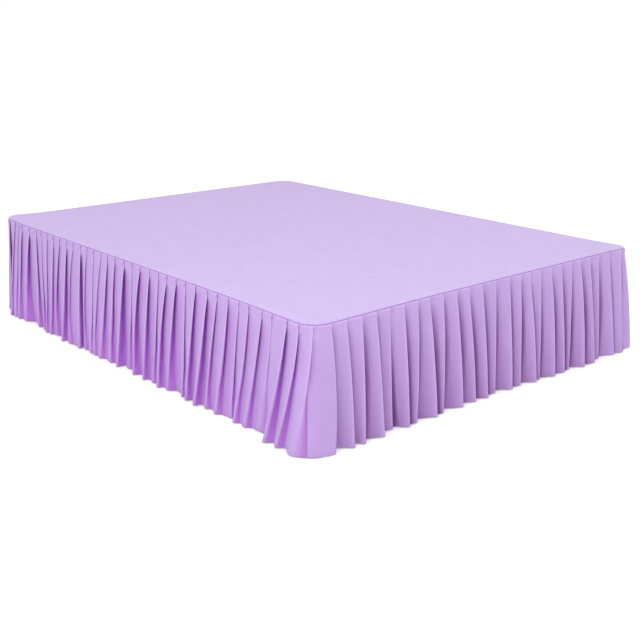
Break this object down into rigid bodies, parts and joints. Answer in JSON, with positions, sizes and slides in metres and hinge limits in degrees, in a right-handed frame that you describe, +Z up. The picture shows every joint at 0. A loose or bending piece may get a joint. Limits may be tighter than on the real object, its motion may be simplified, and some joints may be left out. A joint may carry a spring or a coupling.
{
  "type": "bed skirt on a bed base",
  "caption": "Knife-pleated cloth bed skirt on a box base with legs: a flat deck panel with rounded corners, and a pleated drop that hangs from its edge to just above the floor on every side.",
  "frame": {"origin": "on the floor, at the middle of the hem's outline seen from above", "axes": "+X across the bed, to the right for someone at the foot who looks at the head; +Y along the bed, from the foot to the head; +Z up from the floor"},
  "size_m": [1.6412, 2.1392, 0.4],
  "materials": {
    "lilac_cloth": "matte",
    "base_ticking": "matte",
    "leg_wood": "satin"
  },
  "bodies": {
    "root": {"deck_panel": "lilac_cloth", "skirt_left": "lilac_cloth", "skirt_foot": "lilac_cloth", "skirt_right": "lilac_cloth", "skirt_head": "lilac_cloth", "bed_base": "base_ticking", "leg_1": "leg_wood", "leg_2": "leg_wood", "leg_3": "leg_wood", "leg_4": "leg_wood", "leg_5": "leg_wood", "leg_6": "leg_wood"}
  },
  "joints": []
}
